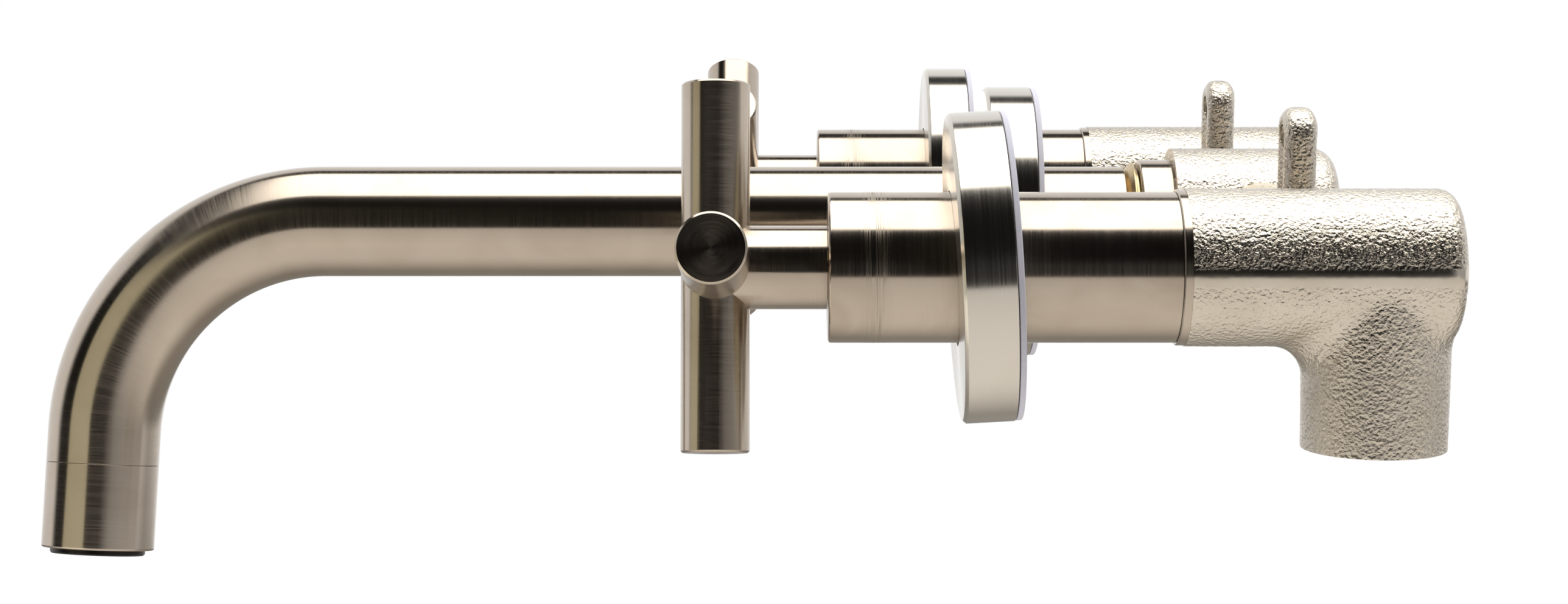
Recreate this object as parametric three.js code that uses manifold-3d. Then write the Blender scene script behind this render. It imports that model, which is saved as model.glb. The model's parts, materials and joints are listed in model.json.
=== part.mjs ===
// Wall-mounted bath faucet: a spout between a cold and a hot cross-handle valve, on a cast rough-in.
// Millimetres. +Z is up and +X points into the wall, so the spout reaches out along -X.
// The origin is on the spout's centreline, in the plane of the finished wall.
import * as THREE from 'three';
import { mergeVertices } from 'three/addons/utils/BufferGeometryUtils.js';
import Module from 'manifold-3d';

const wasm = await Module();
wasm.setup();

// ---- Overall layout ----
const spacing = 101.6;          // spout centreline to each valve centreline
const spoutReach = 238.2;         // finished wall to the centre of the outlet
const sleeveStandoff = 54.1;    // finished wall to the front of a valve sleeve
const valveBodyFront = 22.3;    // finished wall back to the face of a valve body
const spoutBodyFront = 34.8;    // finished wall back to the face of the spout body

// ---- Clearances ----
const gap = 0.3;                // between pieces that are fixed to each other
const runGap = 0.35;            // between pieces that turn on each other
const slideGap = 0.5;           // flange bore to the tube it slides on
const glueGap = 0.2;            // gasket to flange
const over = 1;                 // how far a cutting shape runs past the face that it opens

// ---- Spout ----
const tubeRadius = 14;
const tubeWall = 1.5;
const tubeRearEnd = 22.5;       // rear end of the tube, behind the finished wall
const bendRadius = 55.9;        // to the tube's centreline
const bendAngle = THREE.MathUtils.degToRad(87.3);
const spoutSwing = THREE.MathUtils.degToRad(10.3);  // outlet's turn towards the cold side, round X
const legLength = 8.5;          // straight tube between the bend and the outlet housing
const housingLength = 21.6;
const housingSpigot = 6;
const housingWall = 2;          // wall of the part inside the tube
const housingTipRound = 0.6;
const aeratorDepth = 10;        // recess in the housing's mouth
const recessStep = 0.4;         // recess's radius inside the tube's bore
const aeratorLip = 1.4;         // how far the aerator stands out of the mouth
const aeratorWall = 1.3;
const aeratorPlate = 1.6;
const aeratorPlateInset = 0.8;
const aeratorHole = 1.6;
const aeratorPitch = 5.6;
const aeratorRows = 1;          // rows of holes on each side of the middle row
const aeratorHoleSides = 8;
const washerThickness = 1.4;
const washerWidth = 3.3;

// ---- Spout connection ----
const nippleBore = 8;
const nippleGrip = 14;          // length inside the tube
const coneLength = 2.4;
const coneRise = 2.7;           // cone's large radius less its small one
const neckLength = 1.1;         // narrow neck behind the cone
const neckInset = 2;
const nippleThread = 12;        // length screwed into the collar
const nippleThreadWall = 2.6;
const collarStep = 1.8;         // collar's radius outside the tube's
const collarChamfer = 0.4;
const collarSkirt = 11.5;       // length screwed into the spout body
const collarSkirtWall = 1.9;

// ---- Flanges ----
const flangeRadius = 34.25;
const flangeDepth = 11.5;
const flangeWall = 2.6;
const flangeChamfer = 0.8;
const flangeHubWall = 3.5;
const flangeHubDepth = 8;
const ringSection = 0.75;       // section radius of a flange's O-ring
const ringPlane = 4.6;          // O-ring's centre behind the flange's front face
const gasketThickness = 1.3;
const gasketWidth = 5.6;
const gasketInset = 0.15;       // gasket's edge inside the flange's edge
const coldFlangeFront = -26.4;
const spoutFlangeFront = -13;
const hotFlangeFront = -23.2;
const rockAngle = THREE.MathUtils.degToRad(3.2);  // how far a loose flange rocks on its O-ring
const coldFlangeLean = -rockAngle;

// ---- Handles ----
const barRadius = 7.6;
const barHalfLength = 41;
const barChamfer = 0.6;
const neckRadius = 9.2;
const handleNeck = 24.35;       // axes of the bars to the neck's rear end
const socketDepth = 17;         // spindle socket in the neck
const screwRadius = 1.9;
const screwPlace = 7;           // screw's axis in front of the neck's rear end
const screwTurn = Math.PI / 4;  // round the neck from straight down
const screwSocket = 1;
const coldTurn = THREE.MathUtils.degToRad(-12.4);
const hotTurn = THREE.MathUtils.degToRad(-39);

// ---- Valve trim and cartridge ----
const sleeveRadius = 16.6;
const sleeveWall = 2.1;
const sleeveEndWall = 3;
const sleeveRound = 0.7;
const bushWall = 2.4;
const bushFlange = 2;
const bushLip = 1;
const spindleRadius = 4;
const spindleChamfer = 0.5;
const driverInset = 0.4;        // driver's edge inside the disc's edge
const driverLength = 3;
const discThickness = 3;
const discRim = 2.4;            // outside of a window to the disc's edge
const discWindowInner = 3;
const discWindowHalf = THREE.MathUtils.degToRad(36);
const sealThickness = 1.6;
const sealWidth = 3.8;
const cartridgeWall = 2.05;     // round the discs
const cartridgeRearInset = 0.5;
const cartridgeReliefStep = 0.6;
const windowRim = 1;            // cartridge's rear end to its window
const windowLength = 8;
const windowHeight = 9;
const stemRingSection = 0.8;
const stemRingPlace = 4;        // O-ring's centre behind the cartridge's front
const stemGrooveWidth = 2.4;
const nutSkirt = 8;
const nutCollar = 10;
const nutHexLength = 6;
const nutHexInset = 2.3;        // corners of the hexagon inside the sleeve's bore
const hexSides = 6;

// ---- Castings ----
const barrelStep = 0.9;         // valve body's radius outside its sleeve's
const barrelLength = 61.7;
const barrelRound = 5.5;
const bandLength = 2;           // machined band at the mouth
const bandStep = 0.3;
const pocketStep = 1.8;         // pocket's radius inside the sleeve's bore
const pocketDepth = 37.7;
const reliefStep = 1;
const reliefLength = 13;
const rearChamberRadius = 7;
const rearWall = 6.5;
const portFromBack = 16.8;      // port's axis to the valve body's back
const portStep = 0.8;           // port's top radius inside the barrel's
const portTaper = 0.5;
const portDrop = 40.2;
const inletRadius = 10.3;
const inletDepth = 14;
const inletWay = 5.5;
const spoutBarrelRadius = 18.8;
const spoutBarrelLength = 41.5;
const spoutChamberRadius = 9;
const armFromSeat = 3.9;        // arm's axis in front of the valve seat
const armRadius = 11.5;
const armSpigotStep = 2.5;
const armSpigotDepth = 2;
const armWay = 4.5;
const armWayWall = 0.5;         // the waterway lies this close to the front of the spigot
const earY = 61;                // ear's centre from the spout's centreline
const earTop = 32.3;
const earWidth = 13;
const earThickness = 6.3;
const earHole = 3.05;

// ---- Facets ----
const coarse = 10;
const medium = 16;
const fine = 24;
const ringSides = 6;
const bendSteps = 12;

// ---- Finishes ----
const finish = (color, roughness, metalness) => (
  new THREE.MeshStandardMaterial({ color, roughness, metalness })
);
const brushedNickel = finish('#b5a794', 0.32, 1);
const castNickel = finish('#bdb5a6', 0.38, 1);
const brass = finish('#c99a4b', 0.35, 1);
const ceramic = finish('#efece4', 0.25, 0);
const rubber = finish('#1c1c1c', 0.7, 0);
const foam = finish('#dcdce6', 0.85, 0);
const nylon = finish('#e6e2d6', 0.5, 0);
const steel = finish('#8c8a86', 0.35, 1);

// ---- Geometry helpers ----
const sameVertex = 1e-3;        // vertices closer than this are one

// A closed mesh with shared vertices, no empty faces, and its faces pointing out.
function closed(geometry) {
  geometry.deleteAttribute('normal');
  geometry.deleteAttribute('uv');
  const merged = mergeVertices(geometry, sameVertex);
  const source = merged.index.array;
  const point = merged.attributes.position;
  const faces = [];
  for (let i = 0; i < source.length; i += 3) {
    const [a, b, c] = source.slice(i, i + 3);
    if (a !== b && b !== c && c !== a) faces.push(a, b, c);
  }
  const corner = (i) => new THREE.Vector3().fromBufferAttribute(point, i);
  let volume = 0;
  for (let i = 0; i < faces.length; i += 3) {
    volume += corner(faces[i]).dot(corner(faces[i + 1]).cross(corner(faces[i + 2])));
  }
  if (volume < 0) faces.reverse();
  merged.setIndex(faces);
  return merged;
}

function solid(geometry) {
  const shape = closed(geometry);
  const vertProperties = new Float32Array(shape.attributes.position.array);
  const triVerts = new Uint32Array(shape.index.array);
  return new wasm.Manifold(new wasm.Mesh({ numProp: 3, vertProperties, triVerts }));
}

function surface(manifold) {
  const mesh = manifold.getMesh();
  const geometry = new THREE.BufferGeometry();
  geometry.setAttribute('position', new THREE.BufferAttribute(mesh.vertProperties, 3));
  geometry.setIndex(new THREE.BufferAttribute(mesh.triVerts, 1));
  return geometry;
}

const join = (first, ...others) => others.reduce((sum, other) => sum.add(other), first);
const cut = (first, ...others) => others.reduce((rest, other) => rest.subtract(other), first);

// Turned shape about the X axis from [x, radius] points that close on themselves or end on the axis.
function turned(points, segments = fine) {
  const profile = points.map(([x, radius]) => new THREE.Vector2(radius, x));
  return new THREE.LatheGeometry(profile, segments).rotateZ(-Math.PI / 2);
}

const ringOf = (x0, x1, inner, outer, segments) =>
  turned([[x0, inner], [x0, outer], [x1, outer], [x1, inner], [x0, inner]], segments);

const rodX = (x0, x1, radius, segments = fine) =>
  turned([[x0, 0], [x0, radius], [x1, radius], [x1, 0]], segments);

function rodY(y0, y1, radius, x, segments = fine) {
  return new THREE.CylinderGeometry(radius, radius, y1 - y0, segments).translate(x, (y0 + y1) / 2, 0);
}

function rodZ(z0, z1, lowRadius, highRadius, x, segments = fine) {
  const rod = new THREE.CylinderGeometry(highRadius, lowRadius, z1 - z0, segments).rotateX(Math.PI / 2);
  return rod.translate(x, 0, (z0 + z1) / 2);
}

// Points of a quarter-round edge from the side at radius - round to the end face.
function roundedEdge(x, radius, round, direction, steps = 3) {
  return Array.from({ length: steps + 1 }, (_, i) => {
    const angle = (i / steps) * Math.PI / 2;
    return [x - direction * round * (1 - Math.sin(angle)), radius - round * (1 - Math.cos(angle))];
  });
}

const torus = (radius, section) => (
  new THREE.TorusGeometry(radius, section, ringSides, medium).rotateY(Math.PI / 2)
);

// A flat plate in the YZ plane, from x0 to x0 + thickness.
function plateX(outline, x0, thickness, segments) {
  const plate = new THREE.ExtrudeGeometry(outline, {
    depth: thickness, bevelEnabled: false, curveSegments: segments,
  });
  return plate.applyMatrix4(new THREE.Matrix4().makeBasis(
    new THREE.Vector3(0, 1, 0), new THREE.Vector3(0, 0, 1), new THREE.Vector3(1, 0, 0),
  )).translate(x0, 0, 0);
}

function piece(name, geometry, material) {
  const mesh = new THREE.Mesh(closed(geometry), material);
  mesh.name = name;
  return mesh;
}

const cutPiece = (name, manifold, material) => piece(name, surface(manifold), material);

const group = new THREE.Group();

// ---- Positions worked out from the driving dimensions ----
const tubeBore = tubeRadius - tubeWall;
const collarRadius = tubeRadius + collarStep;
const nippleThreadRadius = nippleBore + nippleThreadWall;
const collarBore = nippleThreadRadius + gap;
const collarSkirtRadius = collarBore + collarSkirtWall;
const bendStart = -spoutReach + bendRadius * Math.sin(bendAngle)
  + (legLength + housingLength) * Math.cos(bendAngle);
const sleeveFront = -sleeveStandoff;
const sleeveBore = sleeveRadius - sleeveWall;
const barrelRadius = sleeveRadius + barrelStep;
const pocketRadius = sleeveBore - pocketStep;
const reliefRadius = pocketRadius + reliefStep;
const cartridgeRadius = pocketRadius - gap;
const discBore = cartridgeRadius - cartridgeWall;
const discRadius = discBore - runGap;
const driverRadius = discRadius - driverInset;
const valveBodyBack = valveBodyFront + barrelLength;
const seatX = valveBodyFront + pocketDepth;
const portX = valveBodyBack - portFromBack;
const portTopRadius = barrelRadius - portStep;
const portTipRadius = portTopRadius - portTaper;
const crossoverX = seatX - armFromSeat;
const armSpigotRadius = armRadius - armSpigotStep;
const armWayX = crossoverX - (armSpigotRadius - armWay - armWayWall);
const sealX = seatX - gap - sealThickness;
const fixedDiscX = sealX - gap - discThickness;
const movingDiscX = fixedDiscX - gap - discThickness;
const driverX = movingDiscX - gap - driverLength;
const cartridgeFront = valveBodyFront + nutSkirt + gap;
const neckRear = sleeveFront - runGap;
const handleX = neckRear - handleNeck;
const spindleBore = spindleRadius + runGap;

// ---- Castings ----
// Cast barrel about X with a rounded back and a machined band at its mouth.
function barrel(front, length, radius, band) {
  const back = front + length;
  return solid(turned([
    [front, 0], [front, radius - bandStep], [front + band, radius - bandStep], [front + band, radius],
    ...roundedEdge(back, radius, barrelRound, 1),
    [back, 0],
  ]));
}

// Socket in a barrel's side that takes a crossover arm's spigot, and the waterway behind it.
// side is -1 or 1, the way the socket faces along Y.
function sideSocket(radius, side) {
  const floor = radius - armSpigotDepth - gap;
  const along = (from, to) => (side > 0 ? [from, to] : [-to, -from]);
  const socket = solid(rodY(...along(floor, radius + armRadius), armSpigotRadius + gap, crossoverX, medium));
  return socket.add(solid(rodY(...along(0, radius), armWay, armWayX, coarse)));
}

function valveBody(name, centreY, armSide) {
  const portFloor = inletDepth - portDrop;
  const outside = barrel(valveBodyFront, barrelLength, barrelRadius, bandLength)
    .add(solid(rodZ(-portDrop, 0, portTipRadius, portTopRadius, portX)));
  const pocket = solid(turned([
    [valveBodyFront - over, 0], [valveBodyFront - over, pocketRadius],
    [seatX - reliefLength, pocketRadius], [seatX - reliefLength, reliefRadius],
    [seatX, reliefRadius], [seatX, rearChamberRadius],
    [valveBodyBack - rearWall, rearChamberRadius], [valveBodyBack - rearWall, 0],
  ]));
  const inlet = solid(rodZ(-portDrop - over, portFloor, inletRadius, inletRadius, portX, medium));
  const way = solid(rodZ(portFloor - over, 0, inletWay, inletWay, portX, coarse));
  const body = cut(outside, pocket, inlet, way, sideSocket(barrelRadius, armSide));
  const mesh = cutPiece(name, body, castNickel);
  mesh.position.y = centreY;
  group.add(mesh);
}

function spoutBody() {
  const outside = barrel(spoutBodyFront, spoutBarrelLength, spoutBarrelRadius, 0);
  const skirtEnd = spoutBodyFront + collarSkirt + gap;
  const chamberEnd = spoutBodyFront + spoutBarrelLength - rearWall;
  const bore = solid(turned([
    [spoutBodyFront - over, 0], [spoutBodyFront - over, collarSkirtRadius + gap],
    [skirtEnd, collarSkirtRadius + gap], [skirtEnd, spoutChamberRadius],
    [chamberEnd, spoutChamberRadius], [chamberEnd, 0],
  ], medium));
  const body = cut(outside, bore, sideSocket(spoutBarrelRadius, 1), sideSocket(spoutBarrelRadius, -1));
  group.add(cutPiece('spout_body', body, castNickel));
}

// Crossover arm with its screw ear, from a valve body to the spout body.
function crossover(name, side) {
  const along = (from, to) => (side > 0 ? [from, to] : [-to, -from]);
  const port = rodZ(-portDrop, 0, portTipRadius + gap, portTopRadius + gap, portX);
  const shell = cut(
    solid(rodY(...along(0, spacing), armRadius, crossoverX)),
    solid(rodX(-spacing, spacing, spoutBarrelRadius + gap)),
    solid(rodX(-spacing, spacing, barrelRadius + gap).translate(0, side * spacing, 0)),
    solid(port.translate(0, side * spacing, 0)),
  );
  const spigotStart = spoutBarrelRadius - armSpigotDepth;
  const spigotEnd = spacing - barrelRadius + armSpigotDepth;
  const spigot = solid(rodY(...along(spigotStart, spigotEnd), armSpigotRadius, crossoverX, medium));
  const half = earWidth / 2;
  const outline = new THREE.Shape();
  outline.moveTo(-half, 0);
  outline.lineTo(half, 0);
  outline.lineTo(half, earTop - half);
  outline.absarc(0, earTop - half, half, 0, Math.PI, false);
  outline.closePath();
  const hole = new THREE.Path().absarc(0, earTop - half, earHole, 0, 2 * Math.PI, true);
  outline.holes.push(hole);
  const ear = solid(plateX(outline, crossoverX - earThickness / 2, earThickness, coarse / 2)
    .translate(0, side * earY, 0));
  const way = solid(rodY(-2 * spacing, 2 * spacing, armWay, armWayX, coarse));
  group.add(cutPiece(name, cut(join(shell, spigot, ear), way), castNickel));
}

// ---- Valve trim ----
function sleeve(name) {
  const bushHole = spindleBore + bushWall + gap;
  const rear = valveBodyFront - gap;
  const inside = sleeveFront + sleeveEndWall;
  return piece(name, turned([
    [sleeveFront, bushHole], ...roundedEdge(sleeveFront, sleeveRadius, sleeveRound, -1).reverse(),
    [rear, sleeveRadius], [rear, sleeveBore], [inside, sleeveBore], [inside, bushHole],
    [sleeveFront, bushHole],
  ]), brushedNickel);
}

function spindleBush(name) {
  const front = sleeveFront + gap;
  const wallBack = sleeveFront + sleeveEndWall + gap;
  const outer = spindleBore + bushWall;
  return piece(name, turned([
    [front, spindleBore], [front, outer], [wallBack, outer], [wallBack, outer + bushFlange],
    [wallBack + bushLip, outer + bushFlange], [wallBack + bushLip, spindleBore], [front, spindleBore],
  ], coarse), nylon);
}

function cartridgeNut(name) {
  const face = valveBodyFront - gap;
  const bore = spindleRadius + 2 * runGap;
  const threads = solid(ringOf(face - nutCollar, face, bore, sleeveBore - gap, medium));
  const skirt = solid(ringOf(face - nutCollar, face + nutSkirt, bore, pocketRadius - gap, medium));
  const hexFront = face - nutCollar - nutHexLength;
  const hex = solid(rodX(hexFront, face - nutCollar + over, sleeveBore - nutHexInset, hexSides));
  const hole = solid(rodX(-spacing, spacing, bore, coarse));
  return cutPiece(name, cut(join(threads, skirt, hex), hole), brass);
}

function cartridgeBody(name) {
  const rear = seatX - cartridgeRearInset;
  const step = seatX - reliefLength;
  const inside = driverX - gap;
  const ringCentre = cartridgeFront + stemRingPlace;
  const grooveRadius = spindleRadius + 2 * stemRingSection + 2 * gap;
  const shell = solid(turned([
    [cartridgeFront, spindleBore], [cartridgeFront, cartridgeRadius], [step, cartridgeRadius],
    [step, cartridgeRadius - cartridgeReliefStep], [rear, cartridgeRadius - cartridgeReliefStep],
    [rear, discBore],
    [inside, discBore], [inside, spindleBore], [ringCentre + stemGrooveWidth / 2, spindleBore],
    [ringCentre + stemGrooveWidth / 2, grooveRadius], [ringCentre - stemGrooveWidth / 2, grooveRadius],
    [ringCentre - stemGrooveWidth / 2, spindleBore], [cartridgeFront, spindleBore],
  ], medium));
  const window = new THREE.BoxGeometry(windowLength, 4 * pocketRadius, windowHeight);
  window.translate(rear - windowRim - windowLength / 2, 0, 0);
  return cutPiece(name, cut(shell, solid(window)), brass);
}

function stemRing(name) {
  const ring = torus(spindleRadius + stemRingSection + gap, stemRingSection);
  return piece(name, ring.translate(cartridgeFront + stemRingPlace, 0, 0), rubber);
}

// Ceramic disc with two opposite quarter windows.
function ceramicDisc(name, x) {
  const outline = new THREE.Shape().absarc(0, 0, discRadius, 0, 2 * Math.PI, false);
  for (const start of [0, Math.PI]) {
    const window = new THREE.Path();
    window.absarc(0, 0, discRadius - discRim, start - discWindowHalf, start + discWindowHalf, false);
    window.absarc(0, 0, discWindowInner, start + discWindowHalf, start - discWindowHalf, true);
    window.closePath();
    outline.holes.push(window);
  }
  return piece(name, plateX(outline, x, discThickness, coarse / 2), ceramic);
}

function seatSeal(name) {
  const ring = ringOf(sealX, sealX + sealThickness, discRadius - sealWidth, discRadius, coarse);
  return piece(name, ring, rubber);
}

function spindle(name) {
  const front = neckRear - socketDepth + gap;
  return piece(name, turned([
    [front, 0], [front, spindleRadius - spindleChamfer], [front + spindleChamfer, spindleRadius],
    [driverX, spindleRadius], [driverX, driverRadius], [driverX + driverLength, driverRadius],
    [driverX + driverLength, 0],
  ], coarse), brass);
}

// Cross handle: two bars through the hub and the neck behind it, brazed into one piece.
function handle(name) {
  const end = barHalfLength;
  const bar = turned([
    [-end, 0], [-end, barRadius - barChamfer], [-end + barChamfer, barRadius],
    [end - barChamfer, barRadius], [end, barRadius - barChamfer], [end, 0],
  ]);
  const upright = solid(bar.clone().rotateY(Math.PI / 2).translate(handleX, 0, 0));
  const level = solid(bar.rotateZ(Math.PI / 2).translate(handleX, 0, 0));
  const neck = solid(rodX(handleX, neckRear, neckRadius));
  const socket = solid(rodX(neckRear - socketDepth, neckRear + over, spindleBore, coarse));
  const hole = screwRadius + gap;
  const screwHole = solid(rodZ(-neckRadius - over, 0, hole, hole, neckRear - screwPlace, coarse)
    .rotateX(screwTurn));
  return cutPiece(name, cut(join(upright, level, neck), socket, screwHole), brushedNickel);
}

// Grub screw low on the side of the neck, with a hexagon socket.
function grubScrew(name) {
  const screwX = neckRear - screwPlace;
  const tip = -spindleRadius - gap;
  const head = -neckRadius + gap;
  const body = solid(rodZ(head, tip, screwRadius, screwRadius, screwX, coarse).rotateX(screwTurn));
  const key = solid(rodZ(head - over, (head + tip) / 2, screwSocket, screwSocket, screwX, hexSides)
    .rotateX(screwTurn));
  return cutPiece(name, cut(body, key), steel);
}

// ---- Flanges ----
// Hollow flange, its foam gasket and its O-ring, on a tube of the given radius.
function flange(name, innerRadius, front, centreY, lean) {
  const bore = innerRadius + slideGap;
  const hub = bore + flangeHubWall;
  const groove = innerRadius + 2 * ringSection + 2 * gap;
  const grooveHalf = ringSection + (innerRadius + 2 * ringSection) * Math.sin(rockAngle) + gap;
  const rimInside = flangeRadius - flangeWall;
  const shell = piece(`${name}_flange`, turned([
    [0, bore], [0, flangeRadius - flangeChamfer], [flangeChamfer, flangeRadius],
    [flangeDepth, flangeRadius], [flangeDepth, rimInside], [flangeWall, rimInside], [flangeWall, hub],
    [flangeHubDepth, hub], [flangeHubDepth, bore], [ringPlane + grooveHalf, bore],
    [ringPlane + grooveHalf, groove], [ringPlane - grooveHalf, groove], [ringPlane - grooveHalf, bore],
    [0, bore],
  ]).translate(-ringPlane, 0, 0), brushedNickel);
  const gasketX = flangeDepth + glueGap - ringPlane;
  const gasketEdge = flangeRadius - gasketInset;
  const gasket = piece(`${name}_flange_gasket`,
    ringOf(gasketX, gasketX + gasketThickness, gasketEdge - gasketWidth, gasketEdge, medium), foam);
  const leaning = new THREE.Group();
  leaning.position.set(front + ringPlane, centreY, 0);
  leaning.rotation.y = lean;
  leaning.add(shell, gasket);
  const ring = piece(`${name}_flange_o_ring`, torus(innerRadius + ringSection + gap, ringSection), rubber);
  ring.position.copy(leaning.position);
  group.add(leaning, ring);
}

function valve(name, centreY, armSide, turn, flangeFront, lean) {
  valveBody(`${name}_valve_body`, centreY, armSide);
  const trim = new THREE.Group();
  trim.position.y = centreY;
  trim.add(
    sleeve(`${name}_sleeve`), spindleBush(`${name}_spindle_bush`), cartridgeNut(`${name}_cartridge_nut`),
    cartridgeBody(`${name}_cartridge_body`), stemRing(`${name}_stem_o_ring`),
    ceramicDisc(`${name}_fixed_disc`, fixedDiscX), seatSeal(`${name}_seat_seal`),
  );
  const turning = new THREE.Group();
  turning.rotation.x = turn;
  turning.add(
    handle(`${name}_handle`), grubScrew(`${name}_handle_screw`), spindle(`${name}_spindle`),
    ceramicDisc(`${name}_moving_disc`, movingDiscX),
  );
  trim.add(turning);
  group.add(trim);
  flange(name, sleeveRadius, flangeFront, centreY, lean);
}

// ---- Spout ----
// Centreline of the tube: straight, round the bend and straight again, with even steps in the bend.
class SpoutLine extends THREE.Curve {
  constructor(bendSteps) {
    super();
    this.bendSteps = bendSteps;
  }

  getPoint(t, target = new THREE.Vector3()) {
    const step = t * (this.bendSteps + 2);
    const turnBy = bendAngle * THREE.MathUtils.clamp((step - 1) / this.bendSteps, 0, 1);
    const leg = legLength * Math.max(0, step - 1 - this.bendSteps);
    const straight = (tubeRearEnd - bendStart) * Math.max(0, 1 - step);
    const x = bendStart + straight - bendRadius * Math.sin(turnBy) - leg * Math.cos(turnBy);
    const z = -bendRadius * (1 - Math.cos(turnBy)) - leg * Math.sin(turnBy);
    return target.set(x, 0, z);
  }

  getTangent(t, target = new THREE.Vector3()) {
    const step = t * (this.bendSteps + 2);
    const turnBy = bendAngle * THREE.MathUtils.clamp((step - 1) / this.bendSteps, 0, 1);
    return target.set(-Math.cos(turnBy), 0, -Math.sin(turnBy));
  }

  getUtoTmapping(u) {
    return u;
  }
}

function spoutTube() {
  const section = new THREE.Shape().absarc(0, 0, tubeRadius, 0, 2 * Math.PI, false);
  section.holes.push(new THREE.Path().absarc(0, 0, tubeBore, 0, 2 * Math.PI, true));
  group.add(piece('spout_tube', new THREE.ExtrudeGeometry(section, {
    steps: bendSteps + 2, curveSegments: fine / 2, extrudePath: new SpoutLine(bendSteps),
  }).rotateX(-spoutSwing), brushedNickel));
}

// Outlet housing, aerator and washer, built along +X from the seam and turned down with the tube's end.
function outlet() {
  const tip = housingLength;
  const recess = tip - aeratorDepth;
  const recessRadius = tubeBore - recessStep;
  const spigotRadius = tubeBore - gap;
  const housingBore = spigotRadius - housingWall;
  const housing = piece('spout_outlet_housing', turned([
    [-housingSpigot, housingBore], [-housingSpigot, spigotRadius], [gap, spigotRadius],
    [gap, tubeRadius], ...roundedEdge(tip, tubeRadius, housingTipRound, 1, 3),
    [tip, recessRadius], [recess, recessRadius], [recess, housingBore], [-housingSpigot, housingBore],
  ]), brushedNickel);

  const washerX = recess + gap;
  const washerRadius = recessRadius - gap;
  const washer = piece('aerator_washer',
    ringOf(washerX, washerX + washerThickness, washerRadius - washerWidth, washerRadius, medium), rubber);

  const aeratorX = washerX + washerThickness + gap;
  const mouth = tip + aeratorLip;
  const plateBack = mouth - aeratorPlateInset;
  const cup = solid(turned([
    [aeratorX, washerRadius - aeratorWall], [aeratorX, washerRadius], [mouth, washerRadius],
    [mouth, washerRadius - aeratorWall], [plateBack, washerRadius - aeratorWall], [plateBack, 0],
    [plateBack - aeratorPlate, 0], [plateBack - aeratorPlate, washerRadius - aeratorWall],
    [aeratorX, washerRadius - aeratorWall],
  ], medium));
  const holes = [];
  for (let row = -aeratorRows; row <= aeratorRows; row += 1) {
    const count = 2 * aeratorRows + 1 - Math.abs(row);
    for (let i = 0; i < count; i += 1) {
      const y = (i - (count - 1) / 2) * aeratorPitch;
      const z = row * aeratorPitch * Math.sqrt(3) / 2;
      const hole = rodX(plateBack - 2 * aeratorPlate, mouth + over, aeratorHole, aeratorHoleSides);
      holes.push(solid(hole.translate(0, y, z)));
    }
  }
  const aerator = cutPiece('aerator_insert', cut(cup, ...holes), steel);

  const down = new THREE.Group();
  const seam = new SpoutLine(1).getPoint(1);
  down.position.copy(seam);
  down.rotation.y = Math.PI - bendAngle;
  down.add(housing, washer, aerator);
  const swung = new THREE.Group();
  swung.rotation.x = -spoutSwing;
  swung.add(down);
  group.add(swung);
}

// Brass nipple in the tube's rear end, and the collar that holds it in the spout body.
function spoutConnection() {
  const grip = tubeBore - gap;
  const coneX = tubeRearEnd + gap;
  const neckX = coneX + coneLength;
  const collarX = neckX + neckLength;
  const coneSmall = tubeBore + gap;
  group.add(piece('spout_nipple', turned([
    [tubeRearEnd - nippleGrip, nippleBore], [tubeRearEnd - nippleGrip, grip], [coneX, grip],
    [coneX, coneSmall], [neckX, coneSmall + coneRise], [neckX, coneSmall + coneRise - neckInset],
    [collarX - gap, coneSmall + coneRise - neckInset], [collarX - gap, nippleThreadRadius],
    [collarX + nippleThread, nippleThreadRadius], [collarX + nippleThread, nippleBore],
    [tubeRearEnd - nippleGrip, nippleBore],
  ]), brass));
  const rear = spoutBodyFront - gap;
  group.add(piece('spout_collar', turned([
    [collarX, collarBore], [collarX, collarRadius - collarChamfer], [collarX + collarChamfer, collarRadius],
    [rear, collarRadius], [rear, collarSkirtRadius], [spoutBodyFront + collarSkirt, collarSkirtRadius],
    [spoutBodyFront + collarSkirt, collarBore], [collarX, collarBore],
  ]), brushedNickel));
}

valve('cold', -spacing, 1, coldTurn, coldFlangeFront, coldFlangeLean);
valve('hot', spacing, -1, hotTurn, hotFlangeFront, 0);
spoutBody();
crossover('cold_crossover', -1);
crossover('hot_crossover', 1);
spoutConnection();
spoutTube();
outlet();
flange('spout', tubeRadius, spoutFlangeFront, 0, 0);

export default group;
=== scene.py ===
import json
import math

import bpy
from mathutils import Matrix, Vector


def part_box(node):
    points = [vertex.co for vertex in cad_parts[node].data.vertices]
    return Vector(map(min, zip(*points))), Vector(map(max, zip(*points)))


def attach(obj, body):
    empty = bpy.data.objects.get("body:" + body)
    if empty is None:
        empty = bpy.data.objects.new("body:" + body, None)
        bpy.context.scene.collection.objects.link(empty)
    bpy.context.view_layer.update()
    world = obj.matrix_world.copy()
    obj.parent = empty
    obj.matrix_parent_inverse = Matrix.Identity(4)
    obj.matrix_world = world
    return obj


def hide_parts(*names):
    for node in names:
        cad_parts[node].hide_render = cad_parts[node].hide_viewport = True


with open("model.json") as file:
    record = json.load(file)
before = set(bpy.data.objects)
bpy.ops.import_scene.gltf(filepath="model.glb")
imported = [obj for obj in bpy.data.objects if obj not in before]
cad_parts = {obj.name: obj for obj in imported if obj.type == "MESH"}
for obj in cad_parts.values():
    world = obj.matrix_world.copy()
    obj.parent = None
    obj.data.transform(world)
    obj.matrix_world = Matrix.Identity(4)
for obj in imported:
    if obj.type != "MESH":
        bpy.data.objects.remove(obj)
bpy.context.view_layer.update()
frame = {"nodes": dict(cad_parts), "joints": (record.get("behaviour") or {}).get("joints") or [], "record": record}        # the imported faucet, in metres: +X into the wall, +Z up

mm = 0.001
joints = {joint["name"]: joint for joint in frame["joints"]}


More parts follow.
